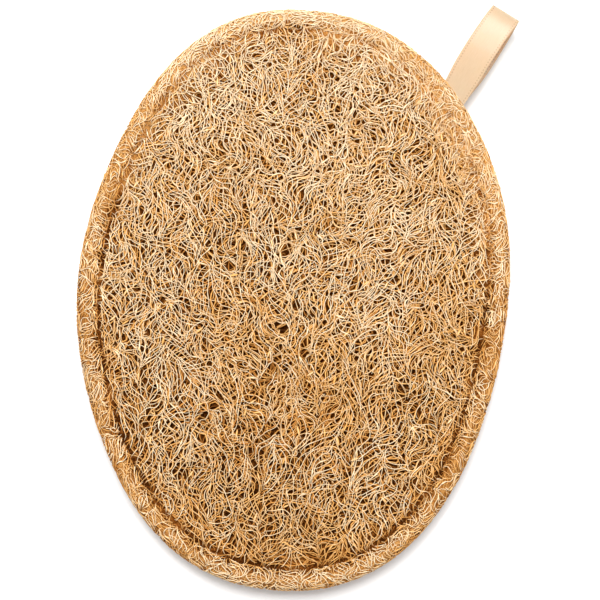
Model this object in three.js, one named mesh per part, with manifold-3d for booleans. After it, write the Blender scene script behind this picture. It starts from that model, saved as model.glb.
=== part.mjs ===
// Oval loofah bath pad: two layers of natural loofah sponge, turned in at the edge and topstitched
// together, with a satin ribbon loop caught between them at one corner of the oval.
// Millimetres, +Z up. The pad lies on z = 0 with its long axis along Y, and the origin is the middle
// of the flat spot that it rests on.
import * as THREE from "three";
import { ConvexHull } from "three/addons/math/ConvexHull.js";
import { mergeVertices } from "three/addons/utils/BufferGeometryUtils.js";
import Module from "manifold-3d";

const wasm = await Module();
wasm.setup();

// Pad outline and the plane where the two layers meet: an oval, and how a hand-cut edge swells from it
const PAD_LENGTH = 181;
const PAD_WIDTH = 134;
const OUTLINE_POWER = 2.25; // superellipse power: 2 is an ellipse, more is squarer
const HAND_CUT = [
  { bulges: 3, swell: 0.006, at: 42 }, // swell is a share of the radius, at is in degrees
  { bulges: 4, swell: 0.017, at: 6 },
  { bulges: 5, swell: 0.004, at: 33 },
];
const PARTING_HEIGHT = 10;
const CLEARANCE = 0.3; // between pieces that touch

// Section of a layer: a rolled rim, a groove pulled in by the stitching, and a full crown
const RIM_WIDTH = 8;
const RIM_HEIGHT = 6;
const SEAM_ANGLE = THREE.MathUtils.degToRad(150); // round the roll, from its outermost line
const CROWN_POWER = 2.6; // how flat the middle of the crown is
const CROWN_FULLNESS = 0.55; // how steeply the crown rises from the groove
const RIM_STEPS = 3; // from the groove round to the outermost line
const FRONT = { side: 1, crown: 11.4, levelAt: Infinity, flatSpot: 0, cell: 7, rimPoints: 60, seed: 11 };
const BACK = {
  side: -1,
  crown: 11,
  levelAt: PARTING_HEIGHT, // the pad's weight presses its back level where it rests
  flatSpot: 9,
  cell: 8,
  rimPoints: 52,
  seed: 23,
};

// Raised net of loofah strands, drawn larger than life: strands crest on the layer's outer skin, and
// the skin between them is sunk
const STRAND_HALF_WIDTH = 0.95;
const NET_DEPTH = 1.3;
const NET_STRETCH = 1.5; // the gourd's strands run mostly along the pad
const NET_JITTER = 0.26; // share of a cell by which a knot is moved
const CREST_WANDER = 0.5; // strands weave over and under each other by this much
const SMALLEST_FLOOR = 0.15; // share of a cell below which it is left level
const SEAM_MARGIN = 0.45; // share of a cell kept clear between the last knots and the groove
const ROLL_WANDER = 0.13; // radians, and share of a step along the rim
const SWIRL_FADE = 2.5; // how late the swirls die away on the way out to the groove
const SWIRLS = [
  { x: -22, y: 44, turn: 0.9, reach: 22 },
  { x: 22, y: 20, turn: -1.0, reach: 24 },
  { x: -18, y: -20, turn: 0.8, reach: 26 },
  { x: 18, y: -52, turn: -0.9, reach: 20 },
];

// Lockstitch seam: one thread along each groove
const STITCH_COUNT = 92;
const THREAD_RADIUS = 0.35;
const THREAD_SIDES = 3;
const STITCH_RISE = 0.6;

// Ribbon loop: a doubled tail in the seam, then two plies that stand apart around an eye
const RIBBON_WIDTH = 10;
const RIBBON_THICKNESS = 0.6;
const LOOP_REACH = 30.9; // from the pad's edge to the fold
const LOOP_TAIL = 11; // held between the layers
const LOOP_SPREAD = 15; // length over which the plies part
const LOOP_CURVE_STEPS = 9;
const EYE_HALF_HEIGHT = 2.6;
const LOOP_EXIT_ANGLE = THREE.MathUtils.degToRad(55.9); // round the pad's centre
const LOOP_HEADING = THREE.MathUtils.degToRad(61.75);

// Derived sizes
const ROLL_RADIUS = RIM_WIDTH / 2;
const SEAM_INSET = ROLL_RADIUS * (1 - Math.cos(SEAM_ANGLE));
const SEAM_HEIGHT = RIM_HEIGHT * Math.sin(SEAM_ANGLE);
const TAIL_THICKNESS = 2 * RIBBON_THICKNESS;

// Mulberry32: the same stream of numbers from 0 to 1 for the same seed
function seededRandom(seed) {
  let state = seed;
  return () => {
    state = (state + 0x6d2b79f5) | 0;
    let mixed = Math.imul(state ^ (state >>> 15), 1 | state);
    mixed = (mixed + Math.imul(mixed ^ (mixed >>> 7), 61 | mixed)) ^ mixed;
    return ((mixed ^ (mixed >>> 14)) >>> 0) / 2 ** 32;
  };
}

function outlineRadius(angle) {
  const across = Math.abs(Math.cos(angle) / (PAD_WIDTH / 2)) ** OUTLINE_POWER;
  const along = Math.abs(Math.sin(angle) / (PAD_LENGTH / 2)) ** OUTLINE_POWER;
  let radius = (across + along) ** (-1 / OUTLINE_POWER);
  for (const { bulges, swell, at } of HAND_CUT) {
    radius *= 1 + swell * Math.cos(bulges * (angle - THREE.MathUtils.degToRad(at)));
  }
  return radius;
}

// Share of the way from the centre to the groove
function seamShare(x, y) {
  return Math.hypot(x, y) / (outlineRadius(Math.atan2(y, x)) - SEAM_INSET);
}

// Height of the crown above the parting plane, level where the pad rests
function crownHeight(x, y, { crown, levelAt }) {
  const rise = Math.max(0, 1 - seamShare(x, y) ** CROWN_POWER) ** CROWN_FULLNESS;
  return Math.min(levelAt, SEAM_HEIGHT + (crown - SEAM_HEIGHT) * rise);
}

// A point on the rolled rim, where a roll angle of 0 is its outermost line
function rimPoint(angle, rollAngle) {
  const radius = outlineRadius(angle) - ROLL_RADIUS * (1 - Math.cos(rollAngle));
  const height = Math.max(CLEARANCE / 2, RIM_HEIGHT * Math.sin(rollAngle));
  return new THREE.Vector3(radius * Math.cos(angle), radius * Math.sin(angle), height);
}

// Turns a point of the net about each swirl in turn, leaving the seam where it is
function swirled(x, y) {
  const fade = 1 - seamShare(x, y) ** SWIRL_FADE;
  const point = new THREE.Vector2(x, y);
  for (const { x: cx, y: cy, turn, reach } of SWIRLS) {
    const centre = new THREE.Vector2(cx, cy);
    const nearness = Math.exp(-point.distanceToSquared(centre) / reach ** 2);
    point.rotateAround(centre, turn * fade * nearness);
  }
  return point;
}

// Delaunay triangles of points in a plane: the lower side of the hull of the points once they are
// raised onto a paraboloid
function delaunay(points) {
  const raised = points.map((p) => new THREE.Vector3(p.x, p.y, p.x ** 2 + p.y ** 2));
  const indexOf = new Map(raised.map((p, i) => [p, i]));
  const lower = new ConvexHull().setFromPoints(raised).faces.filter((face) => face.normal.z < 0);
  return lower.map(({ edge }) => [edge, edge.prev, edge.next].map((e) => indexOf.get(e.head().point)));
}

// The knots of the net inside the groove, on a jittered triangular grid in a plane that is not yet
// stretched along the pad
function crownKnots({ cell }, random) {
  const knots = [];
  const rowStep = (cell * Math.sqrt(3)) / 2;
  const shareClear = 1 - (SEAM_MARGIN * cell) / (PAD_WIDTH / 2);
  const rows = Math.ceil(PAD_LENGTH / 2 / NET_STRETCH / rowStep);
  const columns = Math.ceil(PAD_WIDTH / 2 / cell);
  for (let row = -rows; row <= rows; row++) {
    for (let column = -columns; column <= columns; column++) {
      const x = (column + (row & 1) / 2 + NET_JITTER * (2 * random() - 1)) * cell;
      const y = row * rowStep + NET_JITTER * (2 * random() - 1) * cell;
      if (seamShare(x, y * NET_STRETCH) < shareClear) knots.push(new THREE.Vector2(x, y));
    }
  }
  return knots;
}

// One cell of the net: three strands that crest on its edges, round a sunken floor. A cell inside the
// flat spot, or with no room for a floor, is left level.
function addCell(skin, corners, flatSpot) {
  const [a, b, c] = corners.map((i) => skin.points[i]);
  const sides = [b.distanceTo(c), c.distanceTo(a), a.distanceTo(b)];
  const perimeter = sides[0] + sides[1] + sides[2];
  const cell = new THREE.Triangle(a, b, c);
  const floorShare = 1 - (STRAND_HALF_WIDTH * perimeter) / (2 * cell.getArea());
  const { x, y } = cell.getMidpoint(new THREE.Vector3());
  if (floorShare < SMALLEST_FLOOR || Math.hypot(x, y) < flatSpot) {
    skin.triangles.push(corners);
    return;
  }
  const middle = new THREE.Vector3();
  [a, b, c].forEach((p, i) => middle.addScaledVector(p, sides[i] / perimeter));
  const sunk = cell.getNormal(new THREE.Vector3()).multiplyScalar(-NET_DEPTH);
  const first = skin.points.length;
  for (const p of [a, b, c]) skin.points.push(middle.clone().lerp(p, floorShare).add(sunk));
  for (let i = 0; i < 3; i++) {
    const next = (i + 1) % 3;
    skin.triangles.push([corners[i], corners[next], first + next], [corners[i], first + next, first + i]);
  }
  skin.triangles.push([first, first + 1, first + 2]);
}

// A ring of knots round the rim, each half a step on from the ring inside it. The knots wander except
// along the groove and along the outermost line.
function addRimRing(skin, { rimPoints }, ring, random) {
  const first = skin.points.length;
  const wander = ring % RIM_STEPS === 0 ? 0 : ROLL_WANDER;
  for (let i = 0; i < rimPoints; i++) {
    const step = i + ring / 2 + wander * (2 * random() - 1);
    const roll = SEAM_ANGLE * (1 - ring / RIM_STEPS) + wander * (2 * random() - 1);
    skin.points.push(rimPoint((step * 2 * Math.PI) / rimPoints, roll));
  }
  return first;
}

// One layer of loofah, from the parting plane out, as a solid with the raised net on its outer skin
function loofahLayer(layer) {
  const random = seededRandom(layer.seed);
  const skin = { points: [], triangles: [] };
  const count = layer.rimPoints;

  const rings = [];
  for (let ring = 0; ring <= RIM_STEPS; ring++) rings.push(addRimRing(skin, layer, ring, random));

  const seamRing = skin.points.slice(0, count).map((p) => new THREE.Vector2(p.x, p.y / NET_STRETCH));
  const knots = crownKnots(layer, random);
  const triangles = delaunay([...seamRing, ...knots]);
  const firstKnot = skin.points.length;
  for (const knot of knots) {
    const { x, y } = swirled(knot.x, knot.y * NET_STRETCH);
    const wander = CREST_WANDER * (random() - 1);
    const height = crownHeight(x, y, layer);
    skin.points.push(new THREE.Vector3(x, y, height === layer.levelAt ? height : height + wander));
  }

  for (const triangle of triangles) {
    const corners = triangle.map((i) => (i < count ? i : i - count + firstKnot));
    addCell(skin, corners, layer.flatSpot);
  }
  for (let ring = 0; ring < RIM_STEPS; ring++) {
    const [inner, outer] = rings.slice(ring, ring + 2);
    for (let j = 0; j < count; j++) {
      const next = (j + 1) % count;
      addCell(skin, [inner + j, outer + j, inner + next], layer.flatSpot);
      addCell(skin, [inner + next, outer + j, outer + next], layer.flatSpot);
    }
  }

  const edge = rings[RIM_STEPS];
  const centre = skin.points.push(new THREE.Vector3(0, 0, CLEARANCE / 2)) - 1;
  for (let j = 0; j < count; j++) skin.triangles.push([centre, edge + ((j + 1) % count), edge + j]);
  return solidOf(skin, layer.side);
}

// A closed solid from points above the parting plane and triangles, turned over for the side below it
function solidOf({ points, triangles }, side) {
  const placed = points.map((p) => [p.x, p.y, PARTING_HEIGHT + side * p.z]);
  const wound = triangles.map(([a, b, c]) => (side > 0 ? [a, b, c] : [a, c, b]));
  return manifoldOf(placed.flat(), wound.flat());
}

function manifoldOf(coordinates, corners) {
  const vertProperties = new Float32Array(coordinates);
  const triVerts = new Uint32Array(corners);
  return new wasm.Manifold(new wasm.Mesh({ numProp: 3, vertProperties, triVerts }));
}

// The pocket between the layers that takes the ribbon's doubled tail
function loopPocket() {
  const length = LOOP_TAIL + RIM_WIDTH;
  const pocket = new THREE.BoxGeometry(
    length,
    RIBBON_WIDTH + 2 * CLEARANCE,
    TAIL_THICKNESS + 2 * CLEARANCE,
  );
  pocket.translate(length / 2 - LOOP_TAIL - CLEARANCE, 0, 0);
  pocket.rotateZ(LOOP_HEADING);
  pocket.translate(...loopExit().toArray());
  pocket.deleteAttribute("normal");
  pocket.deleteAttribute("uv");
  const merged = mergeVertices(pocket);
  return manifoldOf(merged.getAttribute("position").array, merged.index.array);
}

function geometryOf(solid) {
  const { vertProperties, triVerts } = solid.getMesh();
  const geometry = new THREE.BufferGeometry();
  geometry.setAttribute("position", new THREE.BufferAttribute(vertProperties, 3));
  geometry.setIndex(new THREE.BufferAttribute(triVerts, 1));
  geometry.computeVertexNormals();
  return geometry;
}

// One thread of the lockstitch: a ring along the groove that rises over each stitch and dips at its
// two ends
function stitchThread(side) {
  const skin = { points: [], triangles: [] };
  const steps = 2 * STITCH_COUNT;
  const lowest = SEAM_HEIGHT + (THREAD_RADIUS + CLEARANCE) * 2;
  for (let i = 0; i < steps; i++) {
    const angle = (i * 2 * Math.PI) / steps;
    const outward = new THREE.Vector3(Math.cos(angle), Math.sin(angle), 0);
    const middle = rimPoint(angle, SEAM_ANGLE).setZ(lowest + (i % 2) * STITCH_RISE);
    for (let j = 0; j < THREAD_SIDES; j++) {
      const turn = (j * 2 * Math.PI) / THREAD_SIDES - Math.PI / 2;
      const spoke = outward.clone().multiplyScalar(Math.cos(turn)).setZ(Math.sin(turn));
      skin.points.push(middle.clone().addScaledVector(spoke, THREAD_RADIUS));
      const here = i * THREAD_SIDES;
      const there = ((i + 1) % steps) * THREAD_SIDES;
      const k = (j + 1) % THREAD_SIDES;
      skin.triangles.push([here + j, there + j, there + k], [here + j, there + k, here + k]);
    }
  }
  return geometryOf(solidOf(skin, side));
}

// The point on the pad's edge where the middle of the ribbon leaves it
function loopExit() {
  return rimPoint(LOOP_EXIT_ANGLE, 0).setZ(PARTING_HEIGHT);
}

// The outline of the loop's edge on one side of its middle line, from the tail to the fold and back
function loopOutline(path, start, tailHalf, eyeHalf) {
  const foldCentre = LOOP_REACH - EYE_HALF_HEIGHT - RIBBON_THICKNESS;
  path.moveTo(start, -tailHalf);
  if (start < 0) path.lineTo(0, -tailHalf);
  const from = Math.max(start, 0);
  const bend = from + (LOOP_SPREAD - from) / 2;
  path.bezierCurveTo(bend, -tailHalf, bend, -eyeHalf, LOOP_SPREAD, -eyeHalf);
  path.lineTo(foldCentre, -eyeHalf);
  path.absarc(foldCentre, 0, eyeHalf, -Math.PI / 2, Math.PI / 2, false);
  path.lineTo(LOOP_SPREAD, eyeHalf);
  path.bezierCurveTo(bend, eyeHalf, bend, tailHalf, from, tailHalf);
  if (start < 0) path.lineTo(start, tailHalf);
  return path.closePath();
}

// Satin ribbon doubled into a loop, seen edge on and drawn out to its width
function ribbonLoop() {
  const outerHalf = EYE_HALF_HEIGHT + RIBBON_THICKNESS;
  const outline = loopOutline(new THREE.Shape(), -LOOP_TAIL, RIBBON_THICKNESS, outerHalf);
  outline.holes.push(loopOutline(new THREE.Path(), RIBBON_THICKNESS, 0, EYE_HALF_HEIGHT));
  const geometry = new THREE.ExtrudeGeometry(outline, {
    depth: RIBBON_WIDTH,
    bevelEnabled: false,
    curveSegments: LOOP_CURVE_STEPS,
  });
  geometry.translate(0, 0, -RIBBON_WIDTH / 2);
  geometry.rotateX(Math.PI / 2);
  return geometry;
}

function namedMesh(name, geometry, material) {
  const mesh = new THREE.Mesh(geometry, material);
  mesh.name = name;
  return mesh;
}

const loofah = new THREE.MeshStandardMaterial({ color: 0xd3a56b, roughness: 0.9, metalness: 0 });
const thread = new THREE.MeshStandardMaterial({ color: 0xb98a50, roughness: 0.8, metalness: 0 });
const satin = new THREE.MeshStandardMaterial({ color: 0xf6d3a5, roughness: 0.4, metalness: 0 });

const pocket = loopPocket();
const pad = new THREE.Group();
pad.add(namedMesh("loofah_front", geometryOf(loofahLayer(FRONT).subtract(pocket)), loofah));
pad.add(namedMesh("loofah_back", geometryOf(loofahLayer(BACK).subtract(pocket)), loofah));
pad.add(namedMesh("needle_thread", stitchThread(1), thread));
pad.add(namedMesh("bobbin_thread", stitchThread(-1), thread));

const hangingLoop = namedMesh("hanging_loop", ribbonLoop(), satin);
hangingLoop.position.copy(loopExit());
hangingLoop.rotation.z = LOOP_HEADING;
pad.add(hangingLoop);

export default pad;
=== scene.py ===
"""Looks of an oval loofah bath pad: an open web of loofah strands on both layers, a turned-in rim with a
topstitched groove, and a bare satin ribbon loop. Metres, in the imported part's frame: the pad lies on
z = 0 with its long axis along Y."""
import math

import bpy
import numpy as np
from mathutils import Matrix, Vector, kdtree


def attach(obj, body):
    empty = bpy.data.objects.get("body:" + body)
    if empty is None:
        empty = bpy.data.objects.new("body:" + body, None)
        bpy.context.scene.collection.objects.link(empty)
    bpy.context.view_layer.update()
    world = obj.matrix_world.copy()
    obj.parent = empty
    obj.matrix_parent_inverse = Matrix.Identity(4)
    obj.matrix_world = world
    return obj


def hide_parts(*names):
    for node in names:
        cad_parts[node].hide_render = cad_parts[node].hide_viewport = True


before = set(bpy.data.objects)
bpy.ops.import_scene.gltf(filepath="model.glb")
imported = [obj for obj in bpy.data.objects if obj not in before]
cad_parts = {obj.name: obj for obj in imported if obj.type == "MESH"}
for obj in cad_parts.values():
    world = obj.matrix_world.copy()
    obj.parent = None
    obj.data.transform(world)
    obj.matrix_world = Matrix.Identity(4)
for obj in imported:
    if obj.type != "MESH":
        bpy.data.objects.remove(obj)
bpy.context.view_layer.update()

MM = 0.001

# Pad outline, section and swirls of the grain, as the part has them
PAD_LENGTH = 181 * MM
PAD_WIDTH = 134 * MM
OUTLINE_POWER = 2.25
HAND_CUT = (
    dict(bulges=3, swell=0.006, at=math.radians(42)),
    dict(bulges=4, swell=0.017, at=math.radians(6)),
    dict(bulges=5, swell=0.004, at=math.radians(33)),
)
PARTING_HEIGHT = 10 * MM
RIM_WIDTH = 8 * MM
RIM_HEIGHT = 6 * MM
SEAM_ANGLE = math.radians(150)
CROWN_POWER = 2.6
CROWN_FULLNESS = 0.55
FRONT_CROWN = 11.4 * MM
BACK_CROWN = 11 * MM
ROLL_RADIUS = RIM_WIDTH / 2
SEAM_INSET = ROLL_RADIUS * (1 - math.cos(SEAM_ANGLE))
SEAM_HEIGHT = RIM_HEIGHT * math.sin(SEAM_ANGLE)
HALF_SIZE = np.array([PAD_WIDTH, PAD_LENGTH]) / 2
SWIRLS = (
    dict(centre=(-22 * MM, 44 * MM), bend=0.9, reach=22 * MM),
    dict(centre=(22 * MM, 20 * MM), bend=-1.0, reach=24 * MM),
    dict(centre=(-18 * MM, -20 * MM), bend=0.8, reach=26 * MM),
    dict(centre=(18 * MM, -52 * MM), bend=-0.9, reach=20 * MM),
)

# How the stitching draws the groove in. Starts are shares of the way out to it
DRAW = 0.95
SLACK = 0.8
UNEVENNESS = 0.45
LOOSE_SPANS = (
    dict(at=math.radians(50), tightness=8),
    dict(at=math.radians(130), tightness=24),
)
GROOVE_WAVES = (11, 23, 41)
# GROOVE_START and RIM_GROOVE_WIDTH bound the painted shade on strands in the groove
GROOVE_START = 0.97
RIM_GROOVE_WIDTH = 1.1 * MM
SLIT = 0.05 * MM
LIP_START = 0.93
GROOVE_LIP = 1.5 * MM
LOOSE_LIP = 1.6 * MM
STEEPEST = 1.6

# Stitching and ribbon loop, as the part has them
STITCH_COUNT = 92
THREAD_RADIUS = 0.35 * MM
RIBBON_WIDTH = 10 * MM
LOOP_REACH = 30.9 * MM
LOOP_TAIL = 11 * MM
EYE_HALF_HEIGHT = 2.6 * MM
LOOP_EXIT_ANGLE = math.radians(55.9)
LOOP_HEADING = math.radians(61.75)

# Stitches in the groove, and a ribbon thinner than the part's
STITCH_SUNK = 0.9 * MM
STITCH_RISE = 0.7 * MM
RIBBON_THICKNESS = 0.25 * MM
RIBBON_COLUMNS = 20
LOOP_LEAD = 4 * MM
LOOP_CREST = 17 * MM


def outline_radius(angle):
    across = np.abs(np.cos(angle) / (PAD_WIDTH / 2)) ** OUTLINE_POWER
    along = np.abs(np.sin(angle) / (PAD_LENGTH / 2)) ** OUTLINE_POWER
    radius = (across + along) ** (-1 / OUTLINE_POWER)
    for cut in HAND_CUT:
        radius = radius * (1 + cut["swell"] * np.cos(cut["bulges"] * (angle - cut["at"])))
    return radius


def bearing(xy):
    """Angle of each point about the pad's centre."""
    return np.arctan2(xy[..., 1], xy[..., 0])


def compass(angle):
    """Unit vectors in the pad's plane."""
    return np.stack([np.cos(angle), np.sin(angle)], -1)


def polar(radius, angle, height):
    """Points at a distance from the pad's upright middle line, and at a height."""
    return np.stack([radius * np.cos(angle), radius * np.sin(angle), height], -1)


def seam_radius(angle):
    """Distance from the centre to the groove."""
    return outline_radius(angle) - SEAM_INSET


def seam_share(xy):
    """Share of the way from the centre to the groove."""
    return np.hypot(xy[..., 0], xy[..., 1]) / seam_radius(bearing(xy))


def seam_gap(xy):
    """Distance in from the groove, along the line to the centre."""
    return seam_radius(bearing(xy)) - np.hypot(xy[..., 0], xy[..., 1])


def drawn_in(angle):
    """How far the stitching draws the groove in: unevenly, and least at the loop's end."""
    loose = sum((0.5 + 0.5 * np.cos(angle - span["at"])) ** span["tightness"] for span in LOOSE_SPANS)
    uneven = sum(np.sin(waves * angle + waves**2) for waves in GROOVE_WAVES) / len(GROOVE_WAVES)
    return np.clip(DRAW - SLACK * loose + UNEVENNESS * uneven, 0, 1)


def unit(vectors):
    return vectors / np.maximum(np.linalg.norm(vectors, axis=-1, keepdims=True), 1e-12)


def runs_of(points):
    """Distance along a line of points, up to each of them."""
    steps = np.linalg.norm(np.diff(points, axis=0), axis=1)
    return np.concatenate([[0], np.cumsum(steps)])


def smooth(x):
    x = np.clip(x, 0, 1)
    return x * x * (3 - 2 * x)


class Waves:
    """A smooth random field over the plane, with a mean of 0 and a spread of 1."""

    COUNT = 11
    SPREAD = (0.7, 1.6)

    def __init__(self, rng, wavelength):
        turn = rng.uniform(0, 2 * math.pi, self.COUNT)
        length = wavelength * rng.uniform(*self.SPREAD, self.COUNT)
        self.vectors = (2 * math.pi / length) * np.stack([np.cos(turn), np.sin(turn)])
        self.phases = rng.uniform(0, 2 * math.pi, self.COUNT)

    def __call__(self, xy):
        waves = np.sin(xy @ self.vectors + self.phases)
        return waves.sum(-1) * math.sqrt(2 / self.COUNT)


class Crown:
    """The domed face of a layer inside the groove, with the pad's own X and Y as flat coordinates."""

    DENT_SEED = 3
    DENT_WAVE = 14 * MM
    SLOPE_STEP = 0.004
    SHORTEST_STEP = 0.001 * MM

    def __init__(self, side, crown, dent=0.0, level_at=math.inf):
        self.side = side
        self.crown = crown
        self.dent = dent
        self.level_at = level_at
        self.dents = Waves(np.random.default_rng(self.DENT_SEED), self.DENT_WAVE)

    def groove(self, flat):
        """Where painted shade falls on strands: 1 in the groove where it is drawn right in, and 0 a little
        way off.
        """
        near = (seam_share(flat) - GROOVE_START) / (1 - GROOVE_START)
        return drawn_in(bearing(flat)) * smooth(near)

    def height(self, flat):
        share = seam_share(flat)
        rise = np.maximum(0, 1 - share**CROWN_POWER) ** CROWN_FULLNESS
        lip = GROOVE_LIP + LOOSE_LIP * (1 - drawn_in(bearing(flat)))
        skin = SEAM_HEIGHT + (self.crown - SEAM_HEIGHT) * rise
        skin = skin + lip * smooth((share - LIP_START) / (1 - LIP_START))
        return np.minimum(self.level_at, np.minimum(self.crown, skin))

    def place(self, flat, depth):
        """Points at a depth under the skin, and the skin's normals there."""
        away = np.hypot(flat[..., 0], flat[..., 1])
        height = self.height(flat)
        fall = self.height(flat * (1 + self.SLOPE_STEP)) - height
        slope = fall / np.maximum(away * self.SLOPE_STEP, self.SHORTEST_STEP)
        slope = np.clip(slope, -STEEPEST, 0)[..., None]
        outward = flat / np.maximum(away, MM)[..., None]
        normal = unit(np.concatenate([-slope * outward, np.ones_like(slope)], -1))
        skin = np.concatenate([flat, height[..., None]], -1)
        down = depth + self.dent * smooth(0.5 + 0.35 * self.dents(flat))
        return turned(skin - down[..., None] * normal, normal, self.side)


class Rim:
    """The rolled edge of a layer: flat coordinates run along the outline and out across the roll."""

    STEPS = 720

    def __init__(self, side):
        self.side = side
        angle = np.linspace(0, 2 * math.pi, self.STEPS + 1)
        radius = outline_radius(angle) - ROLL_RADIUS
        self.angles = angle
        self.runs = runs_of(radius[:, None] * compass(angle))
        self.around = self.runs[-1]
        roll = np.linspace(0, SEAM_ANGLE, self.STEPS)
        section = np.stack([ROLL_RADIUS * np.cos(roll), RIM_HEIGHT * np.sin(roll)], 1)
        self.across = runs_of(section)[-1]

    def angle(self, flat):
        return np.interp(flat[..., 0] % self.around, self.runs, self.angles)

    def groove(self, flat):
        """Where painted shade falls on strands: 1 in the groove where it is drawn right in, and 0 a little
        way off.
        """
        return drawn_in(self.angle(flat)) * smooth(1 - flat[..., 1] / RIM_GROOVE_WIDTH)

    def place(self, flat, depth):
        """Points at a depth under the skin, and the skin's normals there."""
        angle = self.angle(flat)
        roll = SEAM_ANGLE * (1 - flat[..., 1] / self.across)
        radius = outline_radius(angle) - ROLL_RADIUS * (1 - np.cos(roll))
        outward = compass(angle)
        tilt = unit(np.stack([np.cos(roll) / ROLL_RADIUS, np.sin(roll) / RIM_HEIGHT], -1))
        normal = np.concatenate([tilt[..., :1] * outward, tilt[..., 1:]], -1)
        height = (RIM_HEIGHT * np.sin(roll))[..., None]
        skin = np.concatenate([radius[..., None] * outward, height], -1)
        return turned(skin - depth[..., None] * normal, normal, self.side)


def turned(points, normals, side):
    """Points above the parting plane, set on the layer's own side of it."""
    flip = np.array([1, 1, side])
    return points * flip + np.array([0, 0, PARTING_HEIGHT]), normals * flip


def scattered(rng, low, high, spacing, jitter=0.36):
    """Points on a jittered triangular grid that fills a box."""
    rows = np.arange(low[1], high[1], spacing * math.sqrt(3) / 2)
    columns = np.arange(low[0], high[0], spacing)
    grid = np.stack(np.meshgrid(columns, rows), -1)
    grid[1::2, :, 0] += spacing / 2
    grid += rng.uniform(-jitter, jitter, grid.shape) * spacing
    return grid.reshape(-1, 2)


class Field:
    """Headings over a patch's flat coordinates, kept on a fine grid so that a line can follow them. A
    patch that closes round has its length as its period, and an open one has a period out of its reach."""

    CELL = 0.4 * MM

    def __init__(self, low, high, heading_of, inside_of, period=1.0):
        self.low, self.high, self.period = low, high, period
        size = np.ceil((high - low) / self.CELL).astype(int) + 1
        columns, rows = (low[i] + self.CELL * np.arange(size[i]) for i in range(2))
        grid = np.stack(np.meshgrid(columns, rows, indexing="ij"), -1)
        self.heading = heading_of(grid).tolist()
        self.inside = inside_of(grid).tolist()

    def at(self, x, y):
        """The heading at a point, or None outside the patch."""
        i = int((x - self.low[0]) % self.period / self.CELL)
        j = int((y - self.low[1]) / self.CELL)
        if j < 0 or i >= len(self.heading) or j >= len(self.heading[0]):
            return None
        return self.heading[i][j] if self.inside[i][j] else None


class Taken:
    """Points that lines already hold, found by the square that they lie in."""

    def __init__(self, gap, period):
        self.gap, self.period, self.squares = gap, period, {}
        self.columns = int(period / gap)

    def square(self, x, y):
        return math.floor(x * self.columns / self.period) % self.columns, math.floor(y / self.gap)

    def add(self, points):
        for x, y in points:
            self.squares.setdefault(self.square(x, y), []).append((x, y))

    def nearest(self, x, y, limit):
        """The closest point within a limit of up to one gap, or None."""
        i, j = self.square(x, y)
        best, found = limit**2, None
        for di in (-1, 0, 1):
            for dj in (-1, 0, 1):
                for px, py in self.squares.get(((i + di) % self.columns, j + dj), ()):
                    px += self.period * round((x - px) / self.period)
                    far = (px - x) ** 2 + (py - y) ** 2
                    if far < best:
                        best, found = far, (px, py)
        return found


# Combed lines start this share of their gap apart, and meet within this share of it
STARTS_APART = 0.75
MEETS_WITHIN = 0.45


def combed(rng, field, gap, step, longest, shortest=4):
    """Lines that follow the field about a gap apart, each closing up to a neighbour that it meets. They
    come as a list of arrays, one for each number of points."""
    taken = Taken(gap, field.period)
    seeds = scattered(rng, field.low, field.high, STARTS_APART * gap)
    by_length = {}
    for x0, y0 in rng.permutation(seeds):
        if field.at(x0, y0) is None or taken.nearest(x0, y0, gap):
            continue
        halves = []
        for way in (step, -step):
            x, y, half = x0, y0, []
            for _ in range(longest // 2):
                heading = field.at(x, y)
                if heading is None:
                    break
                x, y = x + way * math.cos(heading), y + way * math.sin(heading)
                meets = taken.nearest(x, y, MEETS_WITHIN * gap)
                half.append(meets or (x, y))
                if meets:
                    break
            halves.append(half)
        line = halves[1][::-1] + [(x0, y0)] + halves[0]
        if len(line) >= shortest:
            taken.add(line)
            by_length.setdefault(len(line), []).append(line)
    return [np.array(by_length[length]) for length in sorted(by_length)]


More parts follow.
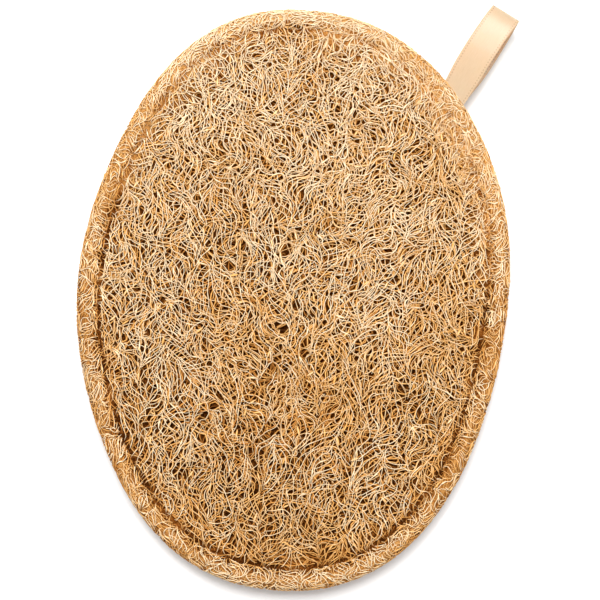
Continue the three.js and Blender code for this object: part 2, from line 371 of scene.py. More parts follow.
class Bundle:
    """Strands gathered as closed tubes for one mesh, with painted light along their crests and painted
    shade on their flanks.
    """

    CREST_LIGHT = 0.24
    CREST_LEVEL = 0.65
    MAP_MARGIN = 0.1
    SIDES = 3

    def __init__(self):
        self.groups = []

    def add(self, points, normals, radius, flatness, tint):
        """points and normals are (strands, stations, 3); the rest are (strands, stations)."""
        shape = points.shape[:2]
        rest = [np.broadcast_to(value, shape) for value in (radius, flatness, tint)]
        self.groups.append((points, normals, *rest))

    def mesh(self, name):
        coordinates, sides, caps, tints, uvs = [], [], [], [], []
        cells = math.ceil(math.sqrt(sum(len(group[0]) for group in self.groups)))
        first_vertex = first_strand = 0
        for points, normals, radius, flatness, tint in self.groups:
            count, stations = points.shape[:2]
            coordinates.append(self.rings(points, normals, radius, flatness).reshape(-1, 3))
            index = first_vertex + np.arange(count * stations * self.SIDES)
            index = index.reshape(count, stations, self.SIDES)
            after = np.roll(index, -1, 2)
            sides.append(quads(index[:, :-1], after[:, :-1], after[:, 1:], index[:, 1:]))
            caps.append(np.concatenate([index[:, 0, ::-1], index[:, -1]]))
            # Painted light on each tube's crest and painted shade on its flanks
            tints.append((tint[..., None] + self.painted_crest_light()).reshape(-1))
            uvs.append(self.cell_maps(count, stations, first_strand, cells))
            first_vertex += count * stations * self.SIDES
            first_strand += count
        made = mesh_of(name, np.concatenate(coordinates), [np.concatenate(sides), np.concatenate(caps)])
        set_values(made, "tint", np.concatenate(tints))
        flat = np.concatenate([u for u, _ in uvs] + [u for _, u in uvs])
        made.uv_layers.new(name="OFBake").uv.foreach_set("vector", flat.astype(np.float32).ravel())
        return made

    def turns(self):
        """Angles of a tube's corners, the first of them its crest."""
        return 2 * math.pi * np.arange(self.SIDES) / self.SIDES + math.pi / 2

    # Painted light on a tube's crest and painted shade on its flanks
    def painted_crest_light(self):
        return self.CREST_LIGHT * (np.sin(self.turns()) - self.CREST_LEVEL)

    def rings(self, points, normals, radius, flatness):
        ahead = unit(np.gradient(points, axis=1))
        across = unit(np.cross(normals, ahead))
        up = np.cross(ahead, across)
        turn = self.turns()
        wide = radius[..., None, None] * across[:, :, None] * np.cos(turn)[:, None]
        tall = (radius * flatness)[..., None, None] * up[:, :, None] * np.sin(turn)[:, None]
        return points[:, :, None] + wide + tall

    def cell_maps(self, count, stations, first, cells):
        """Each strand's own cell of a square map, for its sides and for its two end caps."""
        number = first + np.arange(count)
        corner = np.stack([number % cells, number // cells], 1) / cells
        around = np.arange(self.SIDES) / self.SIDES
        along = np.linspace(0, 1, stations)
        low, high, step = along[:-1], along[1:], 1 / self.SIDES
        u = np.stack([around, around + step, around + step, around], 1)
        v = np.stack([low, low, high, high], 1)
        u, v = np.broadcast_arrays(u[None, :, :], v[:, None, :])

        def in_cells(spots):
            inset = self.MAP_MARGIN + (1 - 2 * self.MAP_MARGIN) * spots
            return (corner[:, None] + inset / cells).reshape(-1, 2)

        caps = [in_cells(np.stack([around, np.full(self.SIDES, end)], 1)) for end in (0, 1)]
        return in_cells(np.stack([u, v], -1).reshape(-1, 2)), np.concatenate(caps)


def mesh_of(name, coordinates, face_groups, rounded=True):
    """A mesh from points and groups of faces, each group an array of equal-sided faces."""
    mesh = bpy.data.meshes.new(name)
    mesh.vertices.add(len(coordinates))
    mesh.vertices.foreach_set("co", coordinates.astype(np.float32).ravel())
    corners = np.concatenate([faces.ravel() for faces in face_groups])
    sizes = np.concatenate([np.full(len(faces), faces.shape[1]) for faces in face_groups])
    mesh.loops.add(len(corners))
    mesh.loops.foreach_set("vertex_index", corners.astype(np.int32))
    mesh.polygons.add(len(sizes))
    starts = np.concatenate([[0], np.cumsum(sizes)[:-1]])
    mesh.polygons.foreach_set("loop_start", starts.astype(np.int32))
    mesh.update(calc_edges=True)
    mesh.validate()
    mesh.polygons.foreach_set("use_smooth", np.full(len(sizes), rounded))
    return mesh


def quads(*corners):
    """Four-sided faces, from an array of points for each corner."""
    return np.stack(corners, -1).reshape(-1, 4)


def set_values(mesh, name, values):
    """A number for each point of a mesh, for its material to read."""
    flat = np.asarray(values, np.float32).ravel()
    mesh.attributes.new(name, "FLOAT", "POINT").data.foreach_set("value", flat)


def new_object(name, data):
    made = bpy.data.objects.new(name, data)
    bpy.context.scene.collection.objects.link(made)
    return made


def piece(name, mesh, material, node):
    made = new_object(name, mesh)
    mesh.materials.append(material)
    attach(made, "root")
    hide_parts(node)
    return made


# Materials


class Nodes:
    """A material with a Principled shader, and short ways to add and join its nodes."""

    def __init__(self, name):
        self.material = bpy.data.materials.new(name)
        self.material.use_nodes = True
        self.tree = self.material.node_tree
        self.shader = self.tree.nodes["Principled BSDF"]

    def add(self, kind, inputs=None, **settings):
        node = self.tree.nodes.new(kind)
        for key, value in settings.items():
            setattr(node, key, value)
        for key, value in (inputs or {}).items():
            if isinstance(value, bpy.types.NodeSocket):
                self.tree.links.new(value, node.inputs[key])
            else:
                node.inputs[key].default_value = value
        return node

    def ramp(self, factor, stops):
        node = self.add("ShaderNodeValToRGB", {"Fac": factor})
        elements = node.color_ramp.elements
        while len(elements) < len(stops):
            elements.new(0.5)
        for element, (position, colour) in zip(elements, stops):
            element.position = position
            element.color = (*colour, 1)
        return node.outputs["Color"]

    def math(self, operation, *values):
        return self.add("ShaderNodeMath", dict(enumerate(values)), operation=operation).outputs[0]

    def centred(self, value, swing):
        """A value from 0 to 1, made to swing about 0."""
        return self.math("MULTIPLY_ADD", value, swing, -swing / 2)

    def value(self, name):
        return self.add("ShaderNodeAttribute", attribute_name=name).outputs["Fac"]

    def noise(self, scale, detail, roughness=0.6, where=None):
        where = where or self.add("ShaderNodeTexCoord").outputs["Object"]
        values = {"Vector": where, "Scale": scale, "Detail": detail, "Roughness": roughness}
        return self.add("ShaderNodeTexNoise", values).outputs["Fac"]

    def bump(self, height, strength, distance):
        values = {"Height": height, "Strength": strength, "Distance": distance}
        return self.add("ShaderNodeBump", values).outputs["Normal"]

    def join(self, output, socket):
        self.tree.links.new(output, self.shader.inputs[socket])

    def set(self, **values):
        for name, value in values.items():
            self.shader.inputs[name.replace("_", " ")].default_value = value


LOOFAH_COLOURS = (
    (0.0, (0.04, 0.011, 0.002)),
    (0.2, (0.2, 0.06, 0.009)),
    (0.42, (0.54, 0.21, 0.04)),
    (0.7, (0.83, 0.46, 0.14)),
    (1.0, (0.94, 0.8, 0.565)),
)
MAT_COLOURS = (
    *LOOFAH_COLOURS[:2],
    (0.42, (0.5, 0.23, 0.062)),
    (0.7, (0.75, 0.475, 0.2)),
)
THREAD_COLOURS = (
    (0.3, (0.10, 0.040, 0.010)),
    (0.7, (0.24, 0.11, 0.034)),
)
SATIN_COLOURS = (
    (0.0, (0.372, 0.265, 0.163)),
    (0.3, (0.516, 0.377, 0.244)),
    (0.7, (0.572, 0.432, 0.291)),
)
FLOATS_ACROSS = 90
FLOATS_ALONG = 350
WEFT_LINE = 0.42
WEFT_LINE_HALF = 0.022
WEFT_PITCH = 0.95 * MM
WEFT_SHADE = 0.45


def strand_material():
    nodes = Nodes("loofah_strand")
    mottle = nodes.centred(nodes.noise(scale=420, detail=4), swing=0.3)
    shade = nodes.math("ADD", nodes.value("tint"), mottle)
    nodes.join(nodes.ramp(shade, LOOFAH_COLOURS), "Base Color")
    grain = nodes.noise(scale=5200, detail=2)
    nodes.join(nodes.math("MULTIPLY_ADD", grain, 0.25, 0.5), "Roughness")
    nodes.join(nodes.bump(grain, strength=0.35, distance=0.05 * MM), "Normal")
    nodes.set(Specular_IOR_Level=0.08)
    return nodes.material


def mat_material():
    nodes = Nodes("loofah_mat")
    fibres = nodes.noise(scale=1100, detail=5, roughness=0.7)
    mottle = nodes.centred(fibres, swing=0.9)
    shade = nodes.math("ADD", nodes.value("tint"), mottle)
    nodes.join(nodes.ramp(shade, MAT_COLOURS), "Base Color")
    nodes.join(nodes.bump(fibres, strength=0.9, distance=0.5 * MM), "Normal")
    nodes.set(Roughness=0.9, Specular_IOR_Level=0.0)
    return nodes.material


def thread_material():
    nodes = Nodes("seam_thread")
    twist = nodes.noise(scale=1800, detail=2)
    nodes.join(nodes.ramp(twist, THREAD_COLOURS), "Base Color")
    nodes.join(nodes.bump(twist, strength=0.5, distance=0.1 * MM), "Normal")
    nodes.set(Roughness=0.85, Specular_IOR_Level=0.1)
    return nodes.material


def satin_material():
    """Satin with long fine floats, and a dotted line of weft turns just inside each woven edge."""
    nodes = Nodes("ribbon_satin")
    along, across = nodes.value("along"), nodes.value("across")
    wide = nodes.math("MULTIPLY", across, FLOATS_ACROSS)
    long = nodes.math("MULTIPLY", along, FLOATS_ALONG)
    where = nodes.add("ShaderNodeCombineXYZ", {"X": wide, "Y": long}).outputs["Vector"]
    floats = nodes.noise(scale=1, detail=2, where=where)
    from_line = nodes.math("SUBTRACT", nodes.math("ABSOLUTE", across), WEFT_LINE)
    line = nodes.math("GREATER_THAN", WEFT_LINE_HALF, nodes.math("ABSOLUTE", from_line))
    beat = nodes.math("SINE", nodes.math("MULTIPLY", along, 2 * math.pi / WEFT_PITCH))
    dots = nodes.math("MULTIPLY", line, nodes.math("GREATER_THAN", beat, 0.0))
    shade = nodes.math("MULTIPLY_ADD", dots, -WEFT_SHADE, floats)
    nodes.join(nodes.ramp(shade, SATIN_COLOURS), "Base Color")
    nodes.join(nodes.bump(shade, strength=0.15, distance=0.05 * MM), "Normal")
    nodes.set(Roughness=0.33, Specular_IOR_Level=0.75)
    nodes.set(Subsurface_Weight=0.7, Subsurface_Radius=(1.0, 0.7, 0.5), Subsurface_Scale=1 * MM)
    return nodes.material


# Loofah strands

SHALLOWEST = 0.02 * MM
# GROOVE_SHADE is how much painted shade darkens strands in the groove
GROOVE_SHADE = 0.12
SWIRL_SHARE = 0.8
SWIRL_FADE = 4
JITTER = 0.45
HOLE_SPACING = 4.8 * MM
PIT_SPACING = 3 * MM
STRAY_RADIUS = 0.17 * MM
CREASED_RADIUS = 0.14 * MM
MAT_DEPTH = 3.1 * MM
FRONT_DENT = 0.5 * MM
RIM_TUCK = 0.6 * MM

# Loose strands that bridge the groove where its stitches are slack
BRIDGED_SHARE = 0.5
BRIDGED_AT = math.radians(50)
BRIDGED_SPREAD = math.radians(18)

# Looks of the nets. A tint darkens with depth as painted shade, lightens toward the far end and to one
# side as painted light, and changes on slopes as painted light and shade
CROWN_LOOK = dict(
    step=1.1 * MM, longest=18, tint_spread=0.09, tint_wave=45 * MM, sway=0.24 * MM, weave=0.16 * MM,
    fade=120, wander=11 * MM, opening=0.8, rungs=0, turn=0.0, hook=0.3 * MM, flatness=0.85, web=0.0,
    end_light=0.0, slope=0.3, far_end_light=2.1, across=0.7,
)
# In each table below, deeper layers are tinted darker, partly as painted shade deep in the net
FRONT_LAYERS = (
    dict(
        gap=1.22 * MM, radius=0.135 * MM, top=0.0, bottom=0.35 * MM, tint=1.0, sweep=0.65,
        wander=12 * MM, step=0.95 * MM, rungs=0.12, flatness=0.7, web=1.2, far_end_light=1.3, across=-1.1,
    ),
    dict(
        gap=1.25 * MM, radius=0.135 * MM, top=0.3 * MM, bottom=0.8 * MM, tint=0.87, sweep=0.75,
        turn=0.5, step=1.0 * MM, longest=16, rungs=0.1, flatness=0.7, web=1.5, far_end_light=1.6, across=-0.8,
    ),
    dict(
        gap=1.5 * MM, radius=0.27 * MM, top=0.6 * MM, bottom=1.1 * MM, tint=0.74, sweep=0.8, turn=-0.5,
        flatness=0.4,
    ),
    dict(
        gap=1.3 * MM, radius=0.23 * MM, top=1.0 * MM, bottom=1.5 * MM, tint=0.53, sweep=1.0,
        step=1.3 * MM, opening=0.6, flatness=0.5,
    ),
    dict(
        gap=1.4 * MM, radius=0.26 * MM, top=1.5 * MM, bottom=2.3 * MM, tint=0.3, sweep=1.0,
        step=1.4 * MM, opening=0.4, flatness=0.6,
    ),
)
BACK_LAYERS = (
    dict(
        gap=1.4 * MM, radius=0.16 * MM, top=0.0, bottom=0.45 * MM, tint=0.98, sweep=0.65, wander=12 * MM,
        rungs=0.12, flatness=0.7, web=1.2, far_end_light=1.0,
    ),
    dict(
        gap=1.5 * MM, radius=0.24 * MM, top=0.45 * MM, bottom=1.0 * MM, tint=0.76, sweep=0.8, turn=0.6,
        flatness=0.45,
    ),
    dict(
        gap=1.5 * MM, radius=0.28 * MM, top=1.0 * MM, bottom=1.8 * MM, tint=0.5, sweep=1.0, turn=-0.5,
        step=1.4 * MM, opening=0.6, flatness=0.5,
    ),
)
RIM_LOOK = dict(
    step=0.85 * MM, longest=12, tint_spread=0.1, tint_wave=30 * MM, sway=0.1 * MM, weave=0.08 * MM,
    fade=180, wander=8 * MM, sweep=0.75, turn=0.0, opening=0.7, rungs=0, hook=0.2 * MM, flatness=0.85,
    web=0.0, end_light=0.16, slope=-0.3, far_end_light=1.6, across=0.0,
)
FRONT_RIM = (
    dict(
        gap=0.97 * MM, radius=0.155 * MM, top=0.0, bottom=0.2 * MM, tint=1.02, turn=1.2, rungs=0.15,
        web=1.2, far_end_light=0.3,
    ),
    dict(gap=0.97 * MM, radius=0.15 * MM, top=0.12 * MM, bottom=0.45 * MM, tint=0.86, turn=-0.7),
    dict(
        gap=1.3 * MM, radius=0.23 * MM, top=0.4 * MM, bottom=0.8 * MM, tint=0.6, turn=0.3, opening=0.9,
        flatness=0.4, far_end_light=2.8,
    ),
)
BACK_RIM = (
    dict(gap=1.2 * MM, radius=0.15 * MM, top=0.0, bottom=0.25 * MM, tint=1.08, turn=1.2, web=1.2),
    dict(
        gap=1.2 * MM, radius=0.22 * MM, top=0.25 * MM, bottom=0.7 * MM, tint=0.72, turn=-0.7, opening=0.6,
        flatness=0.5,
    ),
)
FRONT_LOOKS = dict(
    seed=100, crown=FRONT_LAYERS, rim=FRONT_RIM, spokes=240, knots=9 * MM, strays=260, creased=150,
)
BACK_LOOKS = dict(
    seed=200, crown=BACK_LAYERS, rim=BACK_RIM, spokes=150, knots=11 * MM, strays=200, creased=90,
)


def tree_of(points):
    """A search tree of points in a plane."""
    tree = kdtree.KDTree(len(points))
    for i, (x, y) in enumerate(points):
        tree.insert((x, y, 0), i)
    tree.balance()
    return tree


class Holes:
    """Openings in a net, which its strands run round."""

    PUSH_REACH = 1.6
    CLOSEST = 0.01 * MM

    def __init__(self, centres, sizes):
        self.centres, self.sizes = centres, sizes
        self.tree = tree_of(centres)

    def part(self, path, share):
        """A path pushed aside round the hole nearest to each of its points."""
        nearest = [self.tree.find((x, y, 0))[1] for x, y in path.reshape(-1, 2)]
        nearest = np.array(nearest).reshape(path.shape[:-1])
        size = share * self.sizes[nearest][..., None]
        away = path - self.centres[nearest]
        far = np.linalg.norm(away, axis=-1, keepdims=True)
        pushed = np.sqrt(far**2 + size**2 * np.exp(-((far / (self.PUSH_REACH * size)) ** 2)))
        return self.centres[nearest] + away * pushed / np.maximum(far, self.CLOSEST)


def grain_heading(xy, wander, sweep, turn):
    """Direction of the strands: along the pad, turned by its swirls and by a random wander."""
    heading = np.full(xy.shape[:-1], math.pi / 2 + turn)
    fade = np.maximum(0, 1 - seam_share(xy) ** SWIRL_FADE)
    for swirl in SWIRLS:
        near = np.exp(-((xy - np.array(swirl["centre"])) ** 2).sum(-1) / swirl["reach"] ** 2)
        heading += SWIRL_SHARE * swirl["bend"] * near * fade
    return heading + sweep * wander(xy)


class Net:
    """The strands of one depth of a layer, as combed lines, with cross strands between neighbours."""

    SWAY_SHARES = (0.3, 1.3)
    SWAY_LENGTHS = (4 * MM, 9 * MM)
    WEAVE_LENGTHS = (5 * MM, 12 * MM)
    THICKNESSES = (0.75, 1.3)
    SWELL = 0.15
    SWELL_LENGTHS = (2 * MM, 5 * MM)
    END_POWER = 8
    END_DIP = 0.35 * MM
    WEBBED_SHARE = 0.3
    WEB_STATIONS = 0.8
    TINT_WAVES = 0.06
    END_LIGHT_FROM = 0.4
    RUNG_GAPS = (0.6, 1.5)
    RUNG_THICKNESSES = (0.55, 0.95)
    RUNG_SUNK = 0.4
    RUNG_FLATNESS = 0.8
    RUNG_SHADE = 0.04

    def __init__(self, patch, look, rng, field, holes):
        self.patch, self.look, self.rng, self.holes = patch, look, rng, holes
        self.lines = combed(rng, field, look["gap"], look["step"], look["longest"])
        self.tint_at = Waves(rng, look["tint_wave"])
        self.laid = []

    def bundle(self):
        bundle = Bundle()
        self.strands(bundle)
        if self.look["rungs"]:
            self.rungs(bundle)
        return bundle

    def strands(self, bundle):
        """Strands sway as they run, so that neighbours touch and part, and weave over and under."""
        look, rng = self.look, self.rng
        for line in self.lines:
            count, stations = line.shape[:2]
            run = look["step"] * np.arange(stations)[None]

            def wave(shortest, longest):
                length = rng.uniform(shortest, longest, (count, 1))
                return np.sin(2 * math.pi * (run / length + rng.random((count, 1))))

            ahead = unit(np.gradient(line, axis=1))
            side = ahead[..., ::-1] * np.array([-1, 1])
            sway = look["sway"] * rng.uniform(*self.SWAY_SHARES, (count, 1)) * wave(*self.SWAY_LENGTHS)
            ends = np.abs(np.linspace(-1, 1, stations))[None] ** self.END_POWER
            hook = look["hook"] * rng.normal(0, 1, (count, 1)) * ends
            path = self.holes.part(line + side * (sway + hook)[..., None], look["opening"])
            down = rng.uniform(look["top"], look["bottom"], (count, 1))
            down = down + look["weave"] * wave(*self.WEAVE_LENGTHS) + self.END_DIP * ends
            radius = look["radius"] * rng.uniform(*self.THICKNESSES, (count, 1))
            radius = radius * (1 + self.SWELL * wave(*self.SWELL_LENGTHS))
            middle = rng.uniform(1, stations - 2, (count, 1))
            bump = np.exp(-((np.arange(stations) - middle) / self.WEB_STATIONS) ** 2)
            webbed = rng.random((count, 1)) < self.WEBBED_SHARE
            radius = radius * (1 + look["web"] * webbed * bump)
            down = np.maximum(down, SHALLOWEST + np.minimum(radius, look["radius"]))
            points, normals = self.patch.place(path, down)
            tint = self.tints(path, down, points, normals)
            bundle.add(points, normals, radius, look["flatness"], tint)
            self.laid.append((path, points, normals, tint))

    def tints(self, path, down, points, normals):
        """From brown at 0 to cream at 1, by strand, with painted shade that deepens with depth and in the
        groove, painted light toward the far end, the ends and one side of the pad, and painted light and
        shade on slopes.
        """
        look = self.look
        tint = look["tint"] + self.rng.normal(0, look["tint_spread"], (len(path), 1))
        # Painted shade: strands darken the deeper they lie
        tint = tint + self.TINT_WAVES * self.tint_at(path) - look["fade"] * (down - look["top"])
        # Painted light: lighter toward the far end and to one side of the pad, and at the rim's ends
        end = (points[..., 1] / (PAD_LENGTH / 2)) ** 2
        tint = tint + look["far_end_light"] * points[..., 1] + look["across"] * points[..., 0]
        tint = tint + look["end_light"] * (end - self.END_LIGHT_FROM)
        # Painted light on the crown's slopes and painted shade on the rim's
        tint = tint + look["slope"] * (1 - np.abs(normals[..., 2]))
        # Painted shade in the groove
        return np.clip(tint - GROOVE_SHADE * self.patch.groove(path), 0, 1)

    def rungs(self, bundle):
        """Short cross strands from a share of the points to the strand beside them."""
        look, rng = self.look, self.rng
        flat, points, normals, tint = (
            np.concatenate([values[part].reshape(-1, width) for values in self.laid])
            for part, width in enumerate((2, 3, 3, 1))
        )
        stations = np.concatenate([np.full(len(path), path.shape[1]) for path, *_ in self.laid])
        line = np.repeat(np.arange(len(stations)), stations)
        nearest, farthest = np.array(self.RUNG_GAPS) * look["gap"]
        tree = tree_of(flat)
        pairs = []
        for i in rng.choice(len(flat), int(look["rungs"] * len(flat)), replace=False):
            for _, j, away in tree.find_range((*flat[i], 0), farthest):
                if line[i] != line[j] and away > nearest:
                    pairs.append((i, j))
                    break
        first, last = np.array(pairs).T
        ends = np.stack([points[first], points[last]], 1)
        sunk = self.RUNG_SUNK * look["radius"] * normals[first][:, None]
        upright = normals[np.stack([first, last], 1)]
        thin = look["radius"] * rng.uniform(*self.RUNG_THICKNESSES, (len(pairs), 1))
        bundle.add(ends - sunk, upright, thin, self.RUNG_FLATNESS, tint[first] - self.RUNG_SHADE)


def star_knots(bundle, patch, centres, radius, rng):
    """Knots where strands meet from all sides, as bent rays."""
    rays, steps = 5, 5
    count = len(centres)
    angle = rng.uniform(0, 2 * math.pi, (count, 1))
    angle = angle + 2 * math.pi * (np.arange(rays) + rng.normal(0, 0.25, (count, rays))) / rays
    length = rng.uniform(1.5, 4.5, (count, rays)) * MM
    keep = rng.random((count, rays)) < 0.85
    depth = rng.uniform(0.1, 0.5, count) * MM
    t = np.linspace(0.08, 1, steps + 1)[None]
    own = np.nonzero(keep)[0]
    angle = angle[keep][:, None] + rng.normal(0, 0.5, (len(own), 1)) * t
    reach = length[keep][:, None] * t
    path = centres[own][:, None] + reach[..., None] * compass(angle)
    down = depth[own][:, None] + rng.uniform(-0.1, 0.6, (len(own), 1)) * MM * t
    width = radius * rng.uniform(0.75, 1.15, (len(own), 1)) * (1.15 - 0.25 * t)
    points, normals = patch.place(path, np.maximum(down, SHALLOWEST + width))
    tint = np.clip(0.82 + rng.normal(0, 0.09, (len(own), 1)), 0, 1)
    bundle.add(points, normals, width, 0.75, tint)


def skin_webs(bundle, patch, centres, rng):
    """Small flat webs of skin, drawn out along the strands."""
    steps = 5
    count = len(centres)
    ahead = compass(math.pi / 2 + rng.normal(0, 0.7, count))
    length = rng.uniform(0.7, 1.7, (count, 1)) * MM
    reach = np.linspace(-1, 1, steps + 1)[None]
    path = centres[:, None] + (length * reach)[..., None] * ahead[:, None]
    width = length * rng.uniform(0.2, 0.36, (count, 1)) * (1.1 - np.abs(reach) ** 1.6)
    down = rng.uniform(0.1, 0.6, (count, 1)) * MM + rng.normal(0, 0.2, (count, 1)) * MM * reach
    points, normals = patch.place(path, np.maximum(down, SHALLOWEST + 0.3 * width))
    tint = np.clip(0.74 + rng.normal(0, 0.07, (count, 1)), 0, 1)
    bundle.add(points, normals, width, 0.25, tint)


def curls(bundle, patch, centres, radius, rng):
    """Strands curled into part of a ring."""
    count, steps = len(centres), 9
    sweep = rng.uniform(3.2, 5.6, (count, 1)) * np.linspace(0, 1, steps + 1)[None]
    angle = rng.uniform(0, 2 * math.pi, (count, 1)) + sweep
    ring = rng.uniform(0.6, 1.4, (count, 1)) * MM * (1 + 0.08 * sweep)
    path = centres[:, None] + ring[..., None] * compass(angle)
    down = rng.uniform(0.15, 0.5, (count, 1)) * MM + 0.25 * MM * np.cos(sweep)
    points, normals = patch.place(path, np.maximum(down, SHALLOWEST + radius))
    tint = np.clip(0.9 + rng.normal(0, 0.08, (count, 1)), 0, 1)
    bundle.add(points, normals, radius, 0.85, tint)


def crown_holes(rng):
    """Holes that are wider on the left, and small beside the groove."""
    centres = scattered(rng, -HALF_SIZE, HALF_SIZE, HOLE_SPACING, JITTER)
    open_web = 0.5 + 1.4 * smooth(0.5 + 0.4 * Waves(rng, 30 * MM)(centres))
    open_web = open_web * (1.25 - 0.95 * smooth(centres[:, 0] / (40 * MM)))
    open_web = open_web * (0.25 + 0.75 * smooth(seam_gap(centres) / (10 * MM)))
    return Holes(centres, open_web * (0.25 + 0.85 * rng.random(len(centres)) ** 3) * MM)


def rim_holes(rim, rng):
    centres = scattered(rng, np.zeros(2), np.array([rim.around, rim.across]), PIT_SPACING, JITTER)
    return Holes(centres, (0.15 + 0.35 * rng.random(len(centres)) ** 3) * MM)


def crown_net(crown, look, holes, rng):
    look = {**CROWN_LOOK, **look}
    wander = Waves(rng, look["wander"])
    field = Field(
        -HALF_SIZE, HALF_SIZE,
        lambda xy: grain_heading(xy, wander, look["sweep"], look["turn"]),
        lambda xy: seam_gap(xy) > SLIT * drawn_in(bearing(xy)),
    )
    return Net(crown, look, rng, field, holes)


def rim_net(rim, look, holes, rng):
    look = {**RIM_LOOK, **look}
    wander = Waves(rng, look["wander"])
    field = Field(
        np.array([0, -RIM_TUCK]), np.array([rim.around, rim.across]),
        lambda flat: look["turn"] + look["sweep"] * wander(flat),
        lambda flat: flat[..., 1] > (SLIT + RIM_TUCK) * drawn_in(rim.angle(flat)) - RIM_TUCK,
        rim.around,
    )
    return Net(rim, look, rng, field, holes)


def knots(crown, spacing, radius, rng):
    """Star knots, flat webs and curls over the strands of a crown."""
    bundle = Bundle()

    def spread(gap):
        centres = scattered(rng, -HALF_SIZE, HALF_SIZE, gap, JITTER)
        return centres[seam_share(centres) < 0.95]

    star_knots(bundle, crown, spread(spacing), radius, rng)
    skin_webs(bundle, crown, spread(0.8 * spacing), rng)
    rings = spread(0.75 * spacing)
    likely = 0.25 + 0.5 * smooth(0.5 - rings[:, 1] / (PAD_LENGTH / 2))
    curls(bundle, crown, rings[rng.random(len(rings)) < likely], radius, rng)
    return bundle


def strays(crown, rim, count, rng):
    """Loose strands that run across the groove, from the crown over to the rim."""
    steps = 6
    bridged = rng.random(count) < BRIDGED_SHARE
    angle = rng.uniform(0, 2 * math.pi, count)
    angle = np.where(bridged, rng.normal(BRIDGED_AT, BRIDGED_SPREAD, count), angle)
    drift = rng.normal(0, 0.08, count)
    share = rng.uniform(0.9, 0.965, count)
    start = (share * seam_radius(angle))[:, None] * compass(angle)
    first, up_first = crown.place(start, rng.uniform(0.2, 0.6, count) * MM)
    along = np.interp((angle + drift) % (2 * math.pi), rim.angles, rim.runs)
    end = np.stack([along, rng.uniform(0.8, 3.6, count) * MM], 1)
    last, up_last = rim.place(end, rng.uniform(0.15, 0.4, count) * MM)
    middle_angle = angle + drift * rng.uniform(0.3, 0.7, count)
    radius = seam_radius(middle_angle) + rng.normal(0, 0.3, count) * MM
    height = SEAM_HEIGHT + rng.uniform(0.3, 1.5, count) * MM
    middle = polar(radius, middle_angle, PARTING_HEIGHT + crown.side * height)
    pull = 2 * middle - (first + last) / 2
    t = np.linspace(0, 1, steps + 1)[None, :, None]
    points = (1 - t) ** 2 * first[:, None] + 2 * t * (1 - t) * pull[:, None] + t**2 * last[:, None]
    normals = unit((1 - t) * up_first[:, None] + t * up_last[:, None])
    tint = np.clip(0.6 + 0.2 * bridged[:, None] + rng.normal(0, 0.1, (count, 1)), 0, 1)
    bundle = Bundle()
    bundle.add(points, normals, STRAY_RADIUS * rng.uniform(0.75, 1.25, (count, 1)), 0.85, tint)
    return bundle


def creased(side, count, rng):
    """Loose strands that lie along the groove and wander across it."""
    stations = 8
    t = np.linspace(0, 1, stations)[None]
    length = rng.uniform(2.5, 8, (count, 1)) * MM
    angle = rng.uniform(0, 2 * math.pi, (count, 1))
    angle = angle + (t - 0.5) * length / outline_radius(angle)
    turns = rng.uniform(0.5, 1.6, (count, 1)) * t + rng.random((count, 1))
    aside = rng.uniform(-1.2, 1.1, (count, 1)) + rng.normal(0, 1.3, (count, 1)) * (t - 0.5)
    aside = aside + 0.35 * np.sin(2 * math.pi * turns)
    radius = seam_radius(angle) + aside * MM
    lift = rng.uniform(0.0, 0.5, (count, 1)) + 0.9 * np.abs(aside)
    points = polar(radius, angle, PARTING_HEIGHT + side * (SEAM_HEIGHT + lift * MM))
    normals = np.broadcast_to(np.array([0, 0, 1.0 * side]), points.shape)
    # Darker near the middle of the groove, as painted shade
    tint = np.clip(0.3 + 0.3 * np.abs(aside) + rng.normal(0, 0.1, (count, 1)), 0, 0.85)
    bundle = Bundle()
    bundle.add(points, normals, CREASED_RADIUS * rng.uniform(0.8, 1.3, (count, 1)), 0.85, tint)
    return bundle


def mat_crown(crown, angle, rng):
    """Rings of the matted depth inside the groove, with their tints: dark as painted shade deep in the
    net, at their darkest beside the groove where it is drawn in, and lighter toward the far end as painted
    light.
    """
    lumps, ripples = Waves(rng, 7 * MM), Waves(rng, 2.6 * MM)
    for share in np.linspace(0.012, 0.99, len(angle) // 5):
        flat = (share * seam_radius(angle))[:, None] * compass(angle)
        depth = MAT_DEPTH + 0.25 * MM * lumps(flat) + 0.15 * MM * ripples(flat)
        ring = crown.place(flat, depth * (1 - 0.55 * share**8))[0]
        seam = (0.4 - 0.42 * drawn_in(angle)) * smooth((share - 0.9) / 0.08)
        yield ring, 0.04 + seam + 1.1 * np.maximum(0, flat[:, 1])


def mat_rim(rim, angle):
    """Rings of the matted depth over the rim, with their tints: lighter toward the pad's ends and most at
    the far end, as painted light, and darkened at the groove where it is drawn in, as painted shade.
    """
    along = np.interp(angle, rim.angles, rim.runs)
    for across in np.linspace(0.06, 1, 11):
        flat = np.stack([along, np.full(len(angle), across * rim.across)], 1)
        ring = rim.place(flat, np.full(len(angle), (0.95 - 0.35 * across) * MM))[0]
        bare = 0.34 + 1.2 * np.abs(ring[:, 1]) + 0.9 * np.maximum(0, ring[:, 1])
        inner = 1 - smooth(2.2 * across)
        yield ring, bare - inner * drawn_in(angle) * bare


def mat(name, crown, rim, spokes, rng, node, material):
    """The matted depth of a layer, seen only between its strands: a closed solid down to the parting,
    whose dark tint is painted shade deep in the net.
    """
    angle = np.linspace(0, 2 * math.pi, spokes, endpoint=False)
    rings, tints = zip(*mat_crown(crown, angle, rng), *mat_rim(rim, angle))
    coordinates = np.concatenate(rings)
    index = np.arange(len(coordinates)).reshape(-1, spokes)
    after = np.roll(index, -1, 1)
    walls = quads(index[:-1], index[1:], after[1:], after[:-1])
    top, bottom = index[0], index[-1][::-1]
    if crown.side < 0:
        walls, top, bottom = walls[:, ::-1], top[::-1], bottom[::-1]
    mesh = mesh_of(name, coordinates, [walls, top[None], bottom[None]])
    set_values(mesh, "tint", np.concatenate(tints))
    made = piece(name, mesh, material, node)


